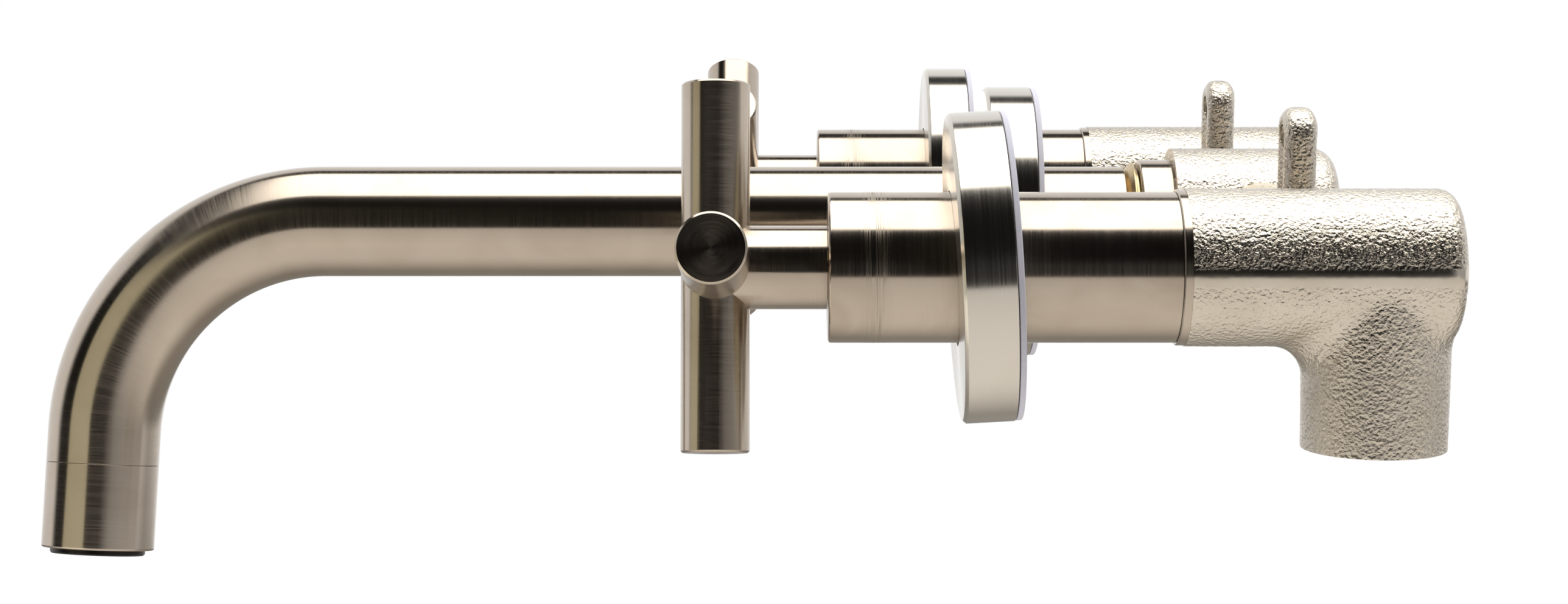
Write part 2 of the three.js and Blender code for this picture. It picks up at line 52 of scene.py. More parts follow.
def boxOf(node):
    low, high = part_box(node)
    return {"low": low / mm, "high": high / mm, "centre": (low + high) / 2 / mm}


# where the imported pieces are, in millimetres
sleeveBox = boxOf("cold_sleeve")
spacing = -sleeveBox["centre"].y
valveY = {"cold": -spacing, "hot": spacing}
turnOf = {name: math.radians(joints[f"{name}_handle_turn"]["range_deg"][0]) for name in valveY}
mounts = {mount["name"]: [c / mm for c in mount["pos_m"]] for mount in frame["record"]["mounts"]}
earY = mounts["hot_ear_back"][1]
portX = boxOf("cold_valve_body")["high"].x - 16.8
print("frame loaded, valves", valveY)


# camera
def makeCamera():
    settings = {"place": (-0.0637, -0.72325, 0.07237), "pitch": 7.337, "lens": 65.21, "sensor": 36}
    camera = bpy.data.objects.new("camera", bpy.data.cameras.new("camera"))
    bpy.context.scene.collection.objects.link(camera)
    camera.location = settings["place"]
    camera.rotation_euler = (math.radians(90 - settings["pitch"]), 0, 0)
    camera.data.sensor_width = settings["sensor"]
    camera.data.lens = settings["lens"]
    camera.data.clip_start = 0.01
    bpy.context.scene.camera = camera


makeCamera()


# small helpers
def addNode(tree, kind, settings=None, links=None):
    node = tree.nodes.new(kind)
    for key, value in (settings or {}).items():
        if isinstance(key, str) and hasattr(node, key):
            setattr(node, key, value)
        else:
            node.inputs[key].default_value = value
    for key, source in (links or {}).items():
        tree.links.new(source, node.inputs[key])
    return node


def linear(colour):
    parts = [int(colour[i:i + 2], 16) / 255 for i in (1, 3, 5)]
    return [c / 12.92 if c <= 0.04045 else ((c + 0.055) / 1.055) ** 2.4 for c in parts] + [1]


def newMaterial(name, **sockets):
    material = bpy.data.materials.new(name)
    material.use_nodes = True
    shader = material.node_tree.nodes["Principled BSDF"]
    for key, value in sockets.items():
        shader.inputs[key.replace("_", " ")].default_value = value
    return material, material.node_tree, shader


def only(piece):
    bpy.ops.object.select_all(action="DESELECT")
    piece.select_set(True)
    bpy.context.view_layer.objects.active = piece
    return piece


def editAll(piece):
    only(piece)
    bpy.ops.object.mode_set(mode="EDIT")
    bpy.ops.mesh.select_all(action="SELECT")


def useModifier(piece, kind, **settings):
    only(piece)
    modifier = piece.modifiers.new(kind.lower(), kind)
    for key, value in settings.items():
        setattr(modifier, key, value)
    bpy.ops.object.modifier_apply(modifier=modifier.name)


def smooth(piece, angle=30):
    only(piece)
    bpy.ops.object.shade_smooth_by_angle(angle=math.radians(angle))


def turnPiece(name, profile, sides=96, bevel=0.0, bevelSteps=2):
    # a solid of revolution about the X axis from (x, radius) points; ending on its first point, it is a ring
    x, radius = profile[0]
    bpy.ops.object.select_all(action="DESELECT")
    bpy.ops.mesh.primitive_circle_add(vertices=sides, radius=radius * mm, location=(x * mm, 0, 0),
                                      rotation=(0, math.pi / 2, 0))
    piece = bpy.context.object
    piece.name = name
    bpy.ops.object.transform_apply(location=True, rotation=True)
    editAll(piece)
    for nextX, nextRadius in profile[1:]:
        bpy.ops.mesh.extrude_region_move(TRANSFORM_OT_translate={"value": ((nextX - x) * mm, 0, 0)})
        grow = nextRadius / radius
        bpy.ops.transform.resize(value=(1, grow, grow), center_override=(nextX * mm, 0, 0))
        x, radius = nextX, nextRadius
    bpy.ops.mesh.select_all(action="SELECT")
    bpy.ops.mesh.remove_doubles(threshold=0.002 * mm)
    if profile[-1] != profile[0]:
        bpy.ops.mesh.fill_holes(sides=0)
        bpy.ops.mesh.select_all(action="SELECT")
    bpy.ops.mesh.normals_make_consistent(inside=False)
    bpy.ops.object.mode_set(mode="OBJECT")
    if bevel:
        useModifier(piece, "BEVEL", width=bevel * mm, segments=bevelSteps, limit_method="ANGLE",
                    angle_limit=math.radians(40))
    smooth(piece)
    return piece


def roundCorner(x, radius, size, steps=6):
    # points of a quarter round, from the side at this radius to the end at this x
    points = []
    for i in range(steps + 1):
        angle = i / steps * math.pi / 2
        back, drop = size * (1 - math.sin(angle)), size * (1 - math.cos(angle))
        points.append((x - back, radius - drop))
    return points


def layGrain(piece):
    # u runs across the turning lines and v runs round, both from the piece's own X axis
    faceShare = 0.6     # how fast u grows with the radius, so that flat faces get rings too
    mesh = piece.data
    layer = mesh.uv_layers.new(name="grain")
    for polygon in mesh.polygons:
        corners = []
        for loop in polygon.loop_indices:
            point = mesh.vertices[mesh.loops[loop].vertex_index].co
            across = point.x + faceShare * math.hypot(point.y, point.z)
            corners.append([loop, across, math.atan2(point.y, point.z) / math.tau + 0.5])
        widest = max(corner[2] for corner in corners)
        for loop, across, around in corners:
            layer.data[loop].uv = (across, around + (1 if widest - around > 0.5 else 0))


def place(source, name, node, body, slotName, material, turn=None):
    # a copy of a modelled piece, moved to its place, that stands for a CAD node
    piece = source.copy()
    piece.data = source.data.copy()
    piece.name = name
    bpy.context.scene.collection.objects.link(piece)
    only(piece)
    piece.matrix_world = turn if turn else Matrix.Identity(4)
    bpy.ops.object.transform_apply(location=True, rotation=True, scale=True)
    if material:
        piece.data.materials.clear()
        piece.data.materials.append(material)
    if "grain" in piece.data.uv_layers:
        # flat and round faces of turned work stay true up to their edges
        useModifier(piece, "WEIGHTED_NORMAL", keep_sharp=True)
    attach(piece, body)
    if node:
        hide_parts(node)
    return piece


def discard(*pieces):
    for piece in pieces:
        bpy.data.objects.remove(piece)


downwards = Matrix.Rotation(math.pi / 2, 4, "Y")      # swings a piece's own X axis to point down
sideways = Matrix.Rotation(math.pi / 2, 4, "Z")       # swings it to point along Y


def atValve(name):
    return Matrix.Translation((0, valveY[name] * mm, 0))


def distanceFrom(tree, coordinate, spot):
    # how far a shading point is from a spot on one axis, the spot in millimetres
    away = addNode(tree, "ShaderNodeMath", {"operation": "SUBTRACT", 1: spot * mm}, {0: coordinate})
    return addNode(tree, "ShaderNodeMath", {"operation": "ABSOLUTE"}, {0: away.outputs[0]}).outputs[0]


# materials
# Brushed nickel: nickel plate over turned brass. Fine rings left by the belt stretch every reflection
# across them, and the plate is a warm grey.
def brushedNickel(name, light="#bcb0a2", dark="#ab9e8f", stain=0.5, rub=None):
    material, tree, shader = newMaterial(name, Metallic=1, Anisotropic=0.85)
    # rings really stand about 0.05 mm apart; here they are wider so that they show
    ringWidth, streakTurns = 0.25 * mm, 5
    grain = addNode(tree, "ShaderNodeUVMap", {"uv_map": "grain"})
    stretch = addNode(tree, "ShaderNodeMapping", {"Scale": (1 / ringWidth, streakTurns, 1)},
                      {"Vector": grain.outputs["UV"]})
    rings = addNode(tree, "ShaderNodeTexNoise", {"Scale": 1, "Detail": 3, "Roughness": 0.6},
                    {"Vector": stretch.outputs["Vector"]})
    coords = addNode(tree, "ShaderNodeTexCoord")
    blotch = addNode(tree, "ShaderNodeTexNoise", {"Scale": 38, "Detail": 3, "Distortion": 1.2},
                     {"Vector": coords.outputs["Object"]})
    tone = addNode(tree, "ShaderNodeMapRange", {"From Min": 0.4, "From Max": 0.7, "To Max": stain},
                   {"Value": blotch.outputs["Fac"]})
    colour = addNode(tree, "ShaderNodeMix", {"data_type": "RGBA", 6: linear(light), 7: linear(dark)},
                     {0: tone.outputs["Result"]})
    tree.links.new(colour.outputs[2], shader.inputs["Base Color"])
    rough = addNode(tree, "ShaderNodeMapRange",
                    {"From Min": 0.3, "From Max": 0.7, "To Min": 0.17, "To Max": 0.25},
                    {"Value": rings.outputs["Fac"]})
    finishRough = rough.outputs["Result"]
    if rub:
        # duller rings where something has rubbed the plate, around one place along X
        along = addNode(tree, "ShaderNodeSeparateXYZ", {}, {"Vector": coords.outputs["Object"]})
        distance = distanceFrom(tree, along.outputs["X"], rub["x"])
        worn = addNode(tree, "ShaderNodeMapRange",
                       {"interpolation_type": "SMOOTHSTEP", "From Min": rub["half"] * mm, "From Max": 0,
                        "To Min": 0, "To Max": 1}, {"Value": distance})
        lines = addNode(tree, "ShaderNodeMapRange", {"From Min": 0.45, "From Max": 0.62},
                        {"Value": rings.outputs["Fac"]})
        scratch = addNode(tree, "ShaderNodeMath", {"operation": "MULTIPLY"},
                          {0: worn.outputs["Result"], 1: lines.outputs["Result"]})
        rougher = addNode(tree, "ShaderNodeMath", {"operation": "MULTIPLY_ADD", 1: 0.3},
                          {0: scratch.outputs[0], 2: finishRough})
        finishRough = rougher.outputs[0]
    tree.links.new(finishRough, shader.inputs["Roughness"])
    bump = addNode(tree, "ShaderNodeBump", {"Strength": 0.14, "Distance": 0.015 * mm},
                   {"Height": rings.outputs["Fac"]})
    tree.links.new(bump.outputs["Normal"], shader.inputs["Normal"])
    tangent = addNode(tree, "ShaderNodeTangent", {"direction_type": "UV_MAP", "uv_map": "grain"})
    tree.links.new(tangent.outputs["Tangent"], shader.inputs["Tangent"])
    return material


# Nickel on a sand-cast skin: the plate is glossy, and it follows the grains of the mould.
def castNickel(name, strip=None):
    material, tree, shader = newMaterial(name, Metallic=1)
    gritWidth, pitWidth, meanHeight = 0.65 * mm, 0.95 * mm, 0.7
    coords = addNode(tree, "ShaderNodeTexCoord")
    grit = addNode(tree, "ShaderNodeTexNoise", {"Scale": 1 / gritWidth, "Detail": 3, "Roughness": 0.5},
                   {"Vector": coords.outputs["Object"]})
    pits = addNode(tree, "ShaderNodeTexVoronoi",
                   {"Scale": 1 / pitWidth, "feature": "SMOOTH_F1", "Smoothness": 0.6},
                   {"Vector": coords.outputs["Object"]})
    height = addNode(tree, "ShaderNodeMath", {"operation": "MULTIPLY_ADD", 1: 0.5},
                     {0: pits.outputs["Distance"], 2: grit.outputs["Fac"]})
    # about a mean of nothing, so that fading the grain out leaves no step
    level = addNode(tree, "ShaderNodeMath", {"operation": "SUBTRACT", 1: meanHeight}, {0: height.outputs[0]})
    skinHeight = level.outputs[0]
    parts = addNode(tree, "ShaderNodeSeparateXYZ", {}, {"Vector": coords.outputs["Object"]})
    if strip:
        # the parting line of the mould was ground smooth
        distance = distanceFrom(tree, parts.outputs["Z"], strip["z"])
        grainy = addNode(tree, "ShaderNodeMapRange",
                         {"From Min": strip["half"] * mm, "From Max": 2 * strip["half"] * mm},
                         {"Value": distance})
        ground = addNode(tree, "ShaderNodeMath", {"operation": "MULTIPLY"},
                         {0: skinHeight, 1: grainy.outputs["Result"]})
        skinHeight = ground.outputs[0]
    bump = addNode(tree, "ShaderNodeBump", {"Strength": 1, "Distance": 0.34 * mm}, {"Height": skinHeight})
    tree.links.new(bump.outputs["Normal"], shader.inputs["Normal"])
    patches = addNode(tree, "ShaderNodeTexNoise", {"Scale": 90, "Detail": 2},
                      {"Vector": coords.outputs["Object"]})
    colour = addNode(tree, "ShaderNodeMix", {"data_type": "RGBA", 6: linear("#dad2c6"), 7: linear("#c8beae")},
                     {0: patches.outputs["Fac"]})
    tree.links.new(colour.outputs[2], shader.inputs["Base Color"])
    gloss = addNode(tree, "ShaderNodeMapRange", {"To Min": 0.1, "To Max": 0.18},
                    {"Value": patches.outputs["Fac"]})
    # the port hangs where little plate builds up, and is duller
    satin = addNode(tree, "ShaderNodeMapRange", {"From Min": -15 * mm, "From Max": -22 * mm, "To Max": 0.16},
                    {"Value": parts.outputs["Z"]})
    rough = addNode(tree, "ShaderNodeMath", {"operation": "ADD"},
                    {0: gloss.outputs["Result"], 1: satin.outputs["Result"]})
    tree.links.new(rough.outputs[0], shader.inputs["Roughness"])
    return material


# A plain material with fine variation: colour and roughness drift by a noise of one real size.
def mottled(name, light, dark, size, roughness, metallic=0.0, bumpDepth=0.01):
    material, tree, shader = newMaterial(name, Metallic=metallic)
    swing = 0.06        # how far the roughness drifts each way
    coords = addNode(tree, "ShaderNodeTexCoord")
    noise = addNode(tree, "ShaderNodeTexNoise", {"Scale": 1 / (size * mm), "Detail": 4},
                    {"Vector": coords.outputs["Object"]})
    colour = addNode(tree, "ShaderNodeMix", {"data_type": "RGBA", 6: linear(light), 7: linear(dark)},
                     {0: noise.outputs["Fac"]})
    tree.links.new(colour.outputs[2], shader.inputs["Base Color"])
    rough = addNode(tree, "ShaderNodeMapRange", {"To Min": roughness - swing, "To Max": roughness + swing},
                    {"Value": noise.outputs["Fac"]})
    tree.links.new(rough.outputs["Result"], shader.inputs["Roughness"])
    bump = addNode(tree, "ShaderNodeBump", {"Strength": 0.5, "Distance": bumpDepth * mm},
                   {"Height": noise.outputs["Fac"]})
    tree.links.new(bump.outputs["Normal"], shader.inputs["Normal"])
    return material


rubbed = {"x": sleeveBox["low"].x + 10.5, "half": 4}
groundStrip = {"z": -0.4, "half": 1.5}
nickel = brushedNickel("brushedNickel")
flangeNickel = brushedNickel("brushedNickelFlange", "#d2ccc3", "#c5beb3", 0.3)
wornNickel = brushedNickel("brushedNickelRubbed", stain=0.9, rub=rubbed)
polishedNickel = brushedNickel("turnedNickel", stain=0.2)
skin = castNickel("sandCastNickel")
stripSkin = castNickel("sandCastNickelGround", groundStrip)
# dull yellow, with a lathe finish
turnedBrass = mottled("turnedBrass", "#cfab69", "#a5834a", 1.5, 0.28, 1.0)
# a paler, whiter brass bar
paleBrass = mottled("turnedPaleBrass", "#d9c69e", "#b7a177", 1.5, 0.3, 1.0)
# hard white ceramic, nearly mirror flat
alumina = mottled("lappedAlumina", "#f2efe8", "#e9e5dc", 2, 0.25)
# black rubber with a soft sheen
nitrile = mottled("mouldedNitrile", "#1d1d1d", "#131313", 0.8, 0.6)
# pale sheet foam with fine closed cells
foam = mottled("closedCellFoam", "#dedeea", "#cdcddd", 0.5, 0.85, bumpDepth=0.05)
# cream, slightly waxy nylon
nylon = mottled("mouldedNylon", "#e8e4d8", "#dcd7c8", 1.2, 0.45)
# steel that standing water has darkened
darkSteel = mottled("wetSteel", "#3a3836", "#252422", 1, 0.35, 1.0)
# cooler grey than the nickel
stainless = mottled("turnedStainless", "#a3a09b", "#8b8883", 1, 0.3, 1.0)


def finishCad():
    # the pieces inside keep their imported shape
    finishes = {"bush": nylon, "nut": turnedBrass, "body": turnedBrass, "ring": nitrile, "disc": alumina,
                "seal": nitrile, "spindle": turnedBrass, "washer": nitrile, "screw": stainless}
    for name, node in frame["nodes"].items():
        kind = name.split("_")[-1]
        material = finishes.get(kind, nickel)
        if not node.material_slots:
            node.data.materials.append(None)
        for slot in node.material_slots:
            slot.material = material


finishCad()
print("materials made")


# valve sleeves
def makeSleeves():
    sleeve = {"front": sleeveBox["low"].x, "rear": sleeveBox["high"].x, "radius": sleeveBox["high"].z,
              "wall": 2.1, "endWall": 3, "bushHole": 7.05, "round": 0.7, "overlap": 0.2}
    front, rear, radius = sleeve["front"], sleeve["rear"] + sleeve["overlap"], sleeve["radius"]
    inside = front + sleeve["endWall"]
    bore = radius - sleeve["wall"]
    edge = [(2 * front - x, r) for x, r in roundCorner(front, radius, sleeve["round"])][::-1]
    profile = [(front, sleeve["bushHole"]), *edge, (rear, radius), (rear, bore), (inside, bore),
               (inside, sleeve["bushHole"]), (front, sleeve["bushHole"])]
    piece = turnPiece("sleeveModel", profile, sides=128)
    layGrain(piece)
    for name in valveY:
        place(piece, f"{name}Sleeve", f"{name}_sleeve", "rough_in", "brushed_nickel", wornNickel,
              atValve(name))
    discard(piece)


makeSleeves()
print("sleeves made")


# flanges and gaskets
def makeFlanges():
    flange = {"radius": 34.25, "depth": 11.5, "wall": 2.6, "chamfer": 0.8, "hubWall": 3.5, "hubDepth": 8,
              "ringPlane": 4.6, "slide": 0.5, "gasket": 1.3, "gasketWidth": 5.6, "gasketInset": 0.15,
              "glue": 0.2, "tube": 14, "edge": 0.15, "gasketEdge": 0.25}
    lean = {"cold": -3.2, "spout": 0, "hot": 0}
    inner = {"cold": sleeveBox["high"].z, "hot": sleeveBox["high"].z, "spout": flange["tube"]}
    for name, leanAngle in lean.items():
        bore = inner[name] + flange["slide"]
        hub = bore + flange["hubWall"]
        rim = flange["radius"] - flange["wall"]
        depth = flange["depth"]
        profile = [(0, bore), (0, flange["radius"] - flange["chamfer"]),
                   (flange["chamfer"], flange["radius"]), (depth, flange["radius"]), (depth, rim),
                   (flange["wall"], rim), (flange["wall"], hub), (flange["hubDepth"], hub),
                   (flange["hubDepth"], bore), (0, bore)]
        shell = turnPiece("flangeModel", [(x - flange["ringPlane"], r) for x, r in profile], 160,
                          flange["edge"], 2)
        layGrain(shell)
        start = depth + flange["glue"] - flange["ringPlane"]
        end = start + flange["gasket"]
        outside = flange["radius"] - flange["gasketInset"]
        inside = outside - flange["gasketWidth"]
        ring = [(start, inside), (start, outside), (end, outside), (end, inside), (start, inside)]
        gasket = turnPiece("gasketModel", ring, 128, flange["gasketEdge"], 3)
        layGrain(gasket)
        # the flange leans about the middle of its O-ring
        centre = boxOf(f"{name}_flange_o_ring")["centre"] * mm
        turn = Matrix.Translation(centre) @ Matrix.Rotation(math.radians(leanAngle), 4, "Y")
        body = f"{name}_flange"
        place(shell, f"{name}Flange", f"{name}_flange", body, "brushed_nickel", flangeNickel, turn)
        place(gasket, f"{name}FlangeGasket", f"{name}_flange_gasket", body, "foam", foam, turn)
        discard(shell, gasket)


makeFlanges()
print("flanges made")


# cross handles
def makeHandles():
    handle = {"bar": 7.6, "half": 40.85, "chamfer": 0.45, "neck": 9.2, "socket": 17, "spindle": 4.35,
              "screw": 2.2, "screwPlace": 7, "screwTurn": 45, "closer": 0.2, "middle": 0.5, "spare": 1}
    box = boxOf("cold_handle")
    crossX = box["low"].x + handle["bar"]
    neckRear = box["high"].x + handle["closer"]
    half, radius, chamfer = handle["half"], handle["bar"], handle["chamfer"]
    middle = handle["middle"]       # radius of the flat that closes each end
    barProfile = [(-half, middle), (-half, radius - chamfer), (-half + chamfer, radius),
                  (half - chamfer, radius), (half, radius - chamfer), (half, middle)]
    bar = turnPiece("bar", barProfile, 96)
    layGrain(bar)
    parts = []
    for turn in (downwards, sideways):
        part = bar.copy()
        part.data = bar.data.copy()
        bpy.context.scene.collection.objects.link(part)
        only(part)
        part.matrix_world = Matrix.Translation((crossX * mm, 0, 0)) @ turn
        bpy.ops.object.transform_apply(location=True, rotation=True, scale=True)
        parts.append(part)
    socketEnd = neckRear - handle["socket"]
    neck = turnPiece("neck", [(crossX, middle), (crossX, handle["neck"]), (neckRear, handle["neck"]),
                              (neckRear, handle["spindle"]), (socketEnd, handle["spindle"]),
                              (socketEnd, middle)], 96)
    layGrain(neck)
    cross = parts[0]
    useModifier(cross, "BOOLEAN", operation="UNION", object=parts[1], solver="EXACT")
    useModifier(cross, "BOOLEAN", operation="UNION", object=neck, solver="EXACT")
    screwX = box["high"].x - handle["screwPlace"]
    holeEnd = handle["neck"] + handle["spare"]
    hole = turnPiece("hole", [(0, 0.2), (0, handle["screw"]), (holeEnd, handle["screw"]), (holeEnd, 0.2)], 32)
    layGrain(hole)
    only(hole)
    hole.matrix_world = Matrix.Translation((screwX * mm, 0, 0)) \
        @ Matrix.Rotation(math.radians(handle["screwTurn"]), 4, "X") @ downwards
    bpy.ops.object.transform_apply(location=True, rotation=True, scale=True)
    useModifier(cross, "BOOLEAN", operation="DIFFERENCE", object=hole, solver="EXACT")
    smooth(cross)
    for name, turn in turnOf.items():
        place(cross, f"{name}Handle", f"{name}_handle", f"{name}_handle", "brushed_nickel", nickel,
              atValve(name) @ Matrix.Rotation(turn, 4, "X"))
    discard(bar, neck, hole, *parts)


makeHandles()
print("handles made")


# spout
def makeSpout():
    spout = {"radius": 14, "wall": 1.5, "reach": 238.2, "bend": 55.9, "angle": 87.3, "swing": 10.3,
             "leg": 8.5, "housing": 21.6, "seam": 0.08, "edge": 0.08, "lip": 1.4, "spigot": 6,
             "recess": 11.6, "mouthRound": 0.6, "bendSteps": 64, "straightSteps": 12}
    angle = math.radians(spout["angle"])
    swing = Matrix.Rotation(-math.radians(spout["swing"]), 4, "X")
    bend = spout["bend"]
    bendStart = -spout["reach"] + bend * math.sin(angle) + (spout["leg"] + spout["housing"]) * math.cos(angle)
    rear = boxOf("spout_tube")["high"].x
    bpy.ops.object.select_all(action="DESELECT")
    bpy.ops.mesh.primitive_circle_add(vertices=96, radius=spout["radius"] * mm, location=(rear * mm, 0, 0),
                                      rotation=(0, math.pi / 2, 0))
    tube = bpy.context.object
    tube.name = "tubeModel"
    bpy.ops.object.transform_apply(location=True, rotation=True)
    editAll(tube)
    step = (bendStart - rear) * mm / spout["straightSteps"]
    for _ in range(spout["straightSteps"]):
        bpy.ops.mesh.extrude_region_move(TRANSFORM_OT_translate={"value": (step, 0, 0)})
    centre = (bendStart * mm, 0, -bend * mm)
    bpy.ops.mesh.spin(steps=spout["bendSteps"], angle=angle, center=centre, axis=(0, 1, 0))
    down = Vector((-math.cos(angle), 0, -math.sin(angle)))
    outward = Vector((-math.sin(angle), 0, math.cos(angle)))
    bendEnd = Vector(centre) + outward * bend * mm
    bpy.ops.mesh.extrude_region_move(TRANSFORM_OT_translate={"value": down * spout["leg"] * mm})
    bpy.ops.mesh.select_all(action="SELECT")
    bpy.ops.mesh.remove_doubles(threshold=0.001 * mm)
    bpy.ops.mesh.normals_make_consistent(inside=False)
    bpy.ops.object.mode_set(mode="OBJECT")

    def alongTube(point):
        # the way along the tube from its rear end, and the angle round it
        if point.x >= bendStart * mm:
            return rear * mm - point.x, math.atan2(point.y, point.z)
        lever = Vector((point.x - centre[0], 0, point.z - centre[2]))
        turned = math.atan2(-lever.x, lever.z)
        if turned <= angle:
            out = lever.length - bend * mm
            return (rear - bendStart) * mm + turned * bend * mm, math.atan2(point.y, out)
        offset = point - bendEnd
        return ((rear - bendStart) + angle * bend) * mm + offset.dot(down), \
            math.atan2(point.y, offset.dot(outward))

    layer = tube.data.uv_layers.new(name="grain")
    for polygon in tube.data.polygons:
        rows = [(loop, *alongTube(tube.data.vertices[tube.data.loops[loop].vertex_index].co))
                for loop in polygon.loop_indices]
        widest = max(row[2] for row in rows)
        for loop, along, around in rows:
            wrap = math.tau if widest - around > math.pi else 0
            layer.data[loop].uv = (along, (around + wrap) / math.tau)
    useModifier(tube, "SOLIDIFY", thickness=spout["wall"] * mm, offset=-1, use_even_offset=True)
    useModifier(tube, "BEVEL", width=spout["edge"] * mm, segments=2, limit_method="ANGLE",
                angle_limit=math.radians(40))
    smooth(tube)
    place(tube, "spoutTube", "spout_tube", "rough_in", "brushed_nickel", nickel, swing)

    # outlet housing, turned on the X axis and swung down on to the tube's end
    bore = spout["radius"] - spout["wall"]
    tip, spigot, recess, seam = spout["housing"], spout["spigot"], spout["recess"], spout["seam"]
    mouth, spigotOutside, spigotBore = bore - 0.4, bore - 0.3, bore - 2.3
    mouthEdge = roundCorner(tip, spout["radius"], spout["mouthRound"], 4)
    profile = [(-spigot, spigotBore), (-spigot, spigotOutside), (seam, spigotOutside),
               (seam, spout["radius"] - spout["edge"]), (seam + spout["edge"], spout["radius"]), *mouthEdge,
               (tip, mouth), (recess, mouth), (recess, spigotBore), (-spigot, spigotBore)]
    housing = turnPiece("housingModel", profile, 96)
    layGrain(housing)
    seamPlace = bendEnd + down * spout["leg"] * mm
    outlet = swing @ Matrix.Translation(seamPlace) @ Matrix.Rotation(math.pi - angle, 4, "Y")
    place(housing, "spoutOutletHousing", "spout_outlet_housing", "rough_in", "brushed_nickel", nickel, outlet)

    # aerator: a cup with a flat plate near its mouth
    cup = {"start": 2.0, "clearance": 0.7, "wall": 1.3, "edge": 0.4, "middle": 0.4, "plate": 0.8,
           "plateBack": 2.4, "plateInset": 1.5}
    start, rim = recess + cup["start"], bore - cup["clearance"]
    lip, inside, edge = tip + spout["lip"], bore - cup["clearance"] - cup["wall"], cup["edge"]
    plate, plateBack, middle = lip - cup["plate"], lip - cup["plateBack"], cup["middle"]
    profile = [(start, inside), (start, rim), (lip - edge, rim), (lip, rim - edge), (lip, inside),
               (plate, rim - cup["plateInset"]), (plate, middle), (plateBack, middle), (plateBack, inside),
               (start, inside)]
    aerator = turnPiece("aeratorModel", profile, 96)
    layGrain(aerator)
    place(aerator, "aeratorInsert", "aerator_insert", "rough_in", "steel", darkSteel, outlet)
    discard(tube, housing, aerator)


makeSpout()
print("spout made")


# castings
def castSkin(piece, smoothZone=None):
    # grains of the moulding sand, sunk into the whole skin but for the strip that was ground smooth
    grain = {"size": 1.2, "depth": 0.2, "least": 0.1, "fade": 3}
    group = piece.vertex_groups.new(name="skin")
    for vertex in piece.data.vertices:
        weight = 1
        if smoothZone:
            past = abs(vertex.co.z / mm - smoothZone["z"]) - smoothZone["half"]
            weight = min(1, max(grain["least"], past / grain["fade"]))
        group.add([vertex.index], weight, "REPLACE")
    texture = bpy.data.textures.new("sandGrain", "CLOUDS")
    texture.noise_scale = grain["size"] * mm
    useModifier(piece, "DISPLACE", texture=texture, texture_coords="LOCAL", strength=grain["depth"] * mm,
                mid_level=1, vertex_group="skin")


def unite(piece, *others):
    for other in others:
        useModifier(piece, "BOOLEAN", operation="UNION", object=other, solver="EXACT")
        discard(other)
    return piece


def carve(piece, *others):
    for other in others:
        useModifier(piece, "BOOLEAN", operation="DIFFERENCE", object=other, solver="EXACT")
        discard(other)
    return piece


def soften(piece):
    # takes out the steps that voxels leave
    useModifier(piece, "SMOOTH", factor=0.5, iterations=6)


def growBack(piece, radius, voxel):
    # grown by the radius and shrunk back, a shape gets a fillet in every inside corner; with a negative
    # radius its outside edges are rounded
    useModifier(piece, "REMESH", mode="VOXEL", voxel_size=voxel * mm)
    for strength in (radius, -radius):
        useModifier(piece, "DISPLACE", strength=strength * mm, mid_level=0)
        useModifier(piece, "REMESH", mode="VOXEL", voxel_size=voxel * mm)
    soften(piece)


def cutFlat(piece, place, normal):
    editAll(piece)
    bpy.ops.mesh.bisect(plane_co=[c * mm for c in place], plane_no=normal, use_fill=True, clear_outer=True)
    bpy.ops.object.mode_set(mode="OBJECT")


def turnedAt(name, profile, move, turn=None, sides=96):
    # a turned piece, swung and then moved by millimetres
    piece = turnPiece(name, profile, sides)
    only(piece)
    piece.matrix_world = Matrix.Translation([c * mm for c in move]) @ (turn or Matrix.Identity(4))
    bpy.ops.object.transform_apply(location=True, rotation=True, scale=True)
    return piece


